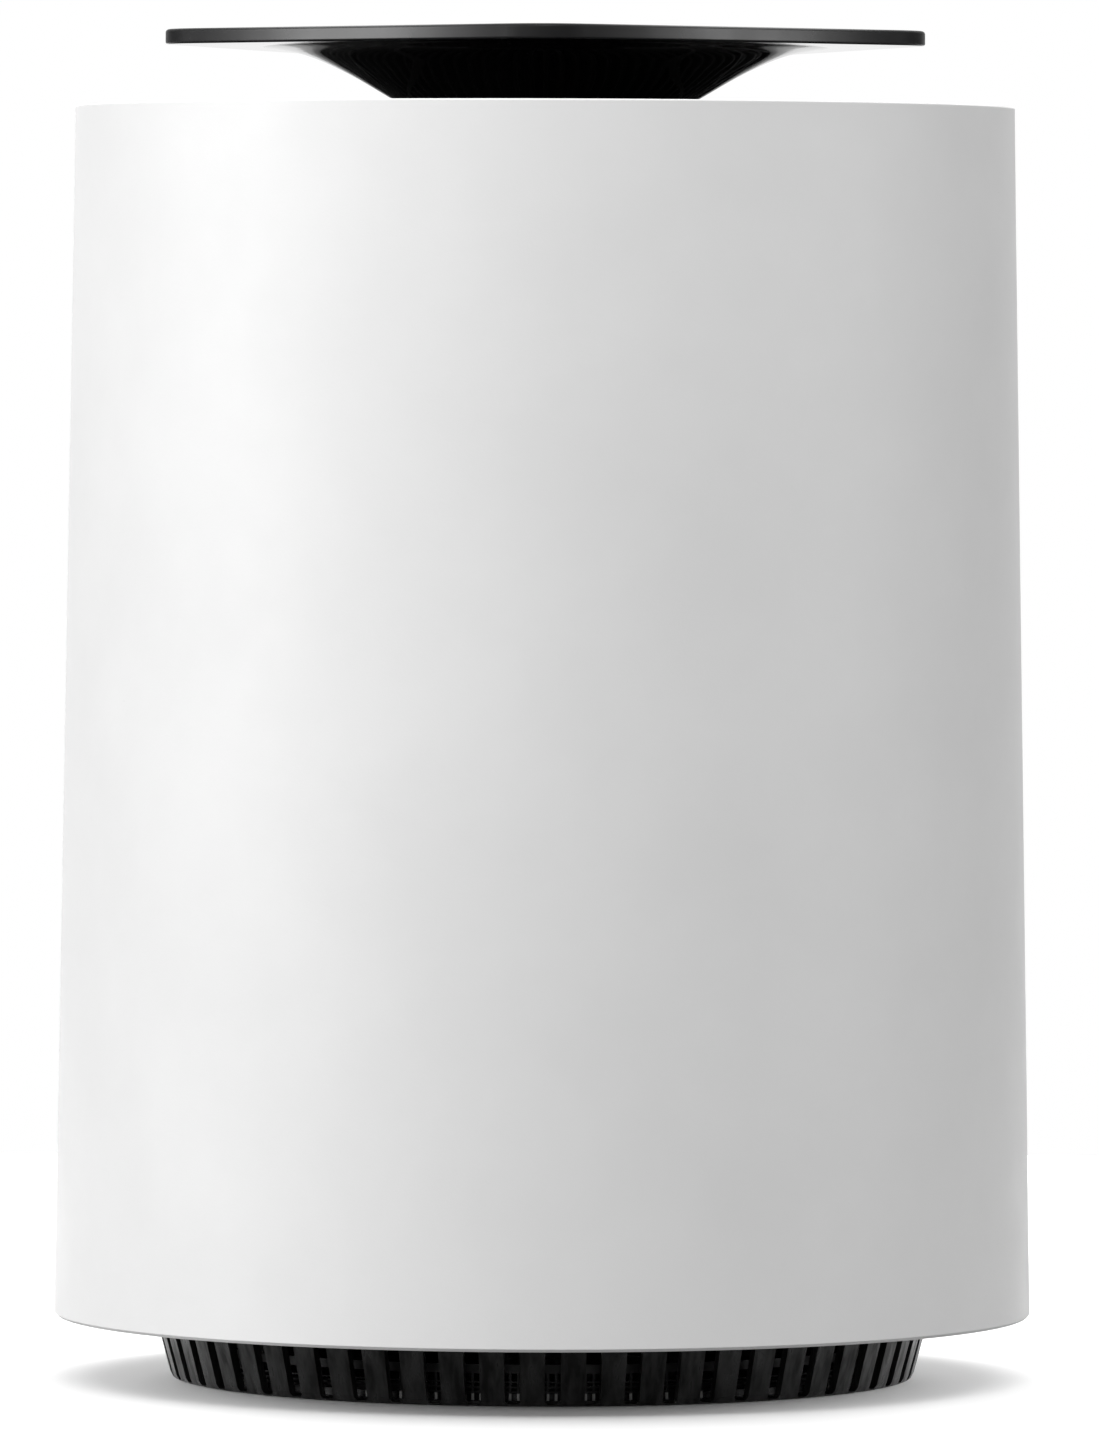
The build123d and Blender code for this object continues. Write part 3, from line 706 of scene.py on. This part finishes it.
def make_panel_marks(look):
    """Generic touch marks round the button: four ringed dots and two small arcs on the panel."""
    top = PANEL_TOP_Z + MARK_RAISE
    low = PANEL_TOP_Z - MARK_SINK
    vertices = []
    faces = []
    for degrees in DOT_ANGLES:
        angle = math.radians(degrees)
        at = (MARK_CIRCLE_RADIUS * math.cos(angle), MARK_CIRCLE_RADIUS * math.sin(angle))
        for inner, outer in DOT_RINGS:
            join_part(vertices, faces, ring_mesh(inner, outer, low, top, at))
    arc_inner = MARK_CIRCLE_RADIUS - ARC_HALF_WIDTH
    arc_outer = MARK_CIRCLE_RADIUS + ARC_HALF_WIDTH
    for sectors in ARC_SECTORS:
        join_part(vertices, faces, ring_mesh(arc_inner, arc_outer, low, top, (0, 0), sectors))
    marks = mesh_from("panel_marks", vertices, faces)
    finish_piece(marks, look, "housing")


# ---------------------------------------------------------------- stage, light and camera


def area_light(name, place, target, size, power):
    """A soft rectangular light aimed at a point."""
    data = bpy.data.lights.new(name, "AREA")
    data.shape = "RECTANGLE"
    data.size, data.size_y = size
    data.energy = power
    lamp = bpy.data.objects.new(name, data)
    bpy.context.scene.collection.objects.link(lamp)
    lamp.location = place
    lamp.rotation_euler = (Vector(target) - Vector(place)).to_track_quat("-Z", "Y").to_euler()
    return lamp


def link_light(lamp, pieces, state):
    """Keep a light off some pieces (EXCLUDE), or on those pieces alone (INCLUDE)."""
    linked = bpy.data.collections.new(f"{lamp.name}_{state.lower()}")
    for index, piece in enumerate(pieces):
        linked.objects.link(piece)
        linked.collection_objects[index].light_linking.link_state = state
    lamp.light_linking.receiver_collection = linked


def glow_material(name, strength):
    """Plain white light from a surface."""
    material = bpy.data.materials.new(name)
    material.use_nodes = True
    tree = material.node_tree
    tree.nodes.remove(tree.nodes["Principled BSDF"])
    glow = tree.nodes.new("ShaderNodeEmission")
    glow.inputs["Strength"].default_value = strength
    tree.links.new(glow.outputs[0], tree.nodes["Material Output"].inputs["Surface"])
    return material


def make_backdrop():
    """A white surround far outside the studio, seen by the camera only."""
    shell = bmesh.new()
    bmesh.ops.create_icosphere(shell, subdivisions=4, radius=BACKDROP_RADIUS)
    bmesh.ops.reverse_faces(shell, faces=shell.faces)
    mesh = bpy.data.meshes.new("studio_backdrop")
    shell.to_mesh(mesh)
    shell.free()
    backdrop = new_object("studio_backdrop", mesh)
    backdrop.data.materials.append(glow_material("studio_backdrop_white", 1.0))
    backdrop.visible_diffuse = False
    backdrop.visible_glossy = False
    backdrop.visible_transmission = False
    backdrop.visible_volume_scatter = False
    backdrop.visible_shadow = False


def make_rear_card():
    """A white card behind the object, seen only in reflections."""
    corners = [
        (-CARD_HALF_WIDTH, CARD_DISTANCE, CARD_LOW_Z),
        (CARD_HALF_WIDTH, CARD_DISTANCE, CARD_LOW_Z),
        (CARD_HALF_WIDTH, CARD_DISTANCE, CARD_HIGH_Z),
        (-CARD_HALF_WIDTH, CARD_DISTANCE, CARD_HIGH_Z),
    ]
    card = mesh_from("rear_card", corners, [(0, 1, 2, 3)])
    card.data.materials.append(glow_material("rear_card_white", 1.0))
    card.visible_camera = False
    card.visible_diffuse = False
    card.visible_shadow = False
    card.visible_transmission = False


def make_floor():
    """A round pale floor under the object, which throws no light back up."""
    floor_mesh = bmesh.new()
    bmesh.ops.create_circle(floor_mesh, cap_ends=True, segments=128, radius=FLOOR_RADIUS)
    mesh = bpy.data.meshes.new("studio_floor")
    floor_mesh.to_mesh(mesh)
    floor_mesh.free()
    floor = new_object("studio_floor", mesh)
    floor.data.materials.append(floor_white())
    floor.visible_diffuse = False
    return floor


def make_air():
    """Even white light from all round."""
    world = bpy.data.worlds.new("studio_air")
    world.use_nodes = True
    bpy.context.scene.world = world
    air = world.node_tree.nodes["Background"]
    air.inputs["Color"].default_value = (1, 1, 1, 1)
    air.inputs["Strength"].default_value = AIR_STRENGTH


def make_lights(floor):
    """One light over everything, four on the object alone, and two for the floor and the foot."""
    area_light("overhead_soft", (0, 0.9, 2.5), (0, 0.3, 0), (4.4, 4.0), 110)
    keys = [
        area_light("left_soft", (-2.45, -0.7, 0.95), BODY_CENTRE, (1.4, 2.0), 46),
        area_light("front_left_soft", (-1.2, -2.0, 1.1), BODY_FRONT, (1.2, 1.0), 10),
        area_light("front_high_fill", (0, -1.6, 1.9), BODY_FRONT, (1.0, 0.8), 22),
        area_light("right_soft", (2.38, -0.72, 0.85), BODY_CENTRE, (0.6, 1.8), 12),
    ]
    washes = [
        area_light("floor_wash_left", (-1.9, 1.4, 0.6), (0, 0, 0), (2.6, 1.0), 120),
        area_light("floor_wash_right", (1.9, 1.4, 0.6), (0, 0, 0), (2.6, 1.0), 120),
    ]
    for key in keys:
        link_light(key, [floor], "EXCLUDE")
    for wash in washes:
        link_light(wash, [floor, NODES["base_grille"]], "INCLUDE")


def make_camera():
    """The long lens in front, looking slightly down."""
    data = bpy.data.cameras.new("front_camera")
    data.lens = LENS_MM
    data.sensor_width = SENSOR_MM
    data.clip_start = 0.1
    data.clip_end = 100.0
    camera = bpy.data.objects.new("front_camera", data)
    bpy.context.scene.collection.objects.link(camera)
    camera.location = (CAMERA_SIDE, -CAMERA_DISTANCE, CAMERA_HEIGHT)
    camera.rotation_euler = (math.pi / 2 - CAMERA_PITCH, CAMERA_ROLL, 0)
    bpy.context.scene.camera = camera


make_camera()
FLOOR = make_floor()
make_backdrop()
make_rear_card()
make_air()
make_lights(FLOOR)
smooth_nodes()
LOOKS = dress_nodes()
make_net(LOOKS["filter_net"])
make_trumpet(LOOKS["black_gloss"])
make_panel_marks(icon_print())

bpy.context.scene.view_settings.view_transform = "Standard"
bpy.context.view_layer.update()
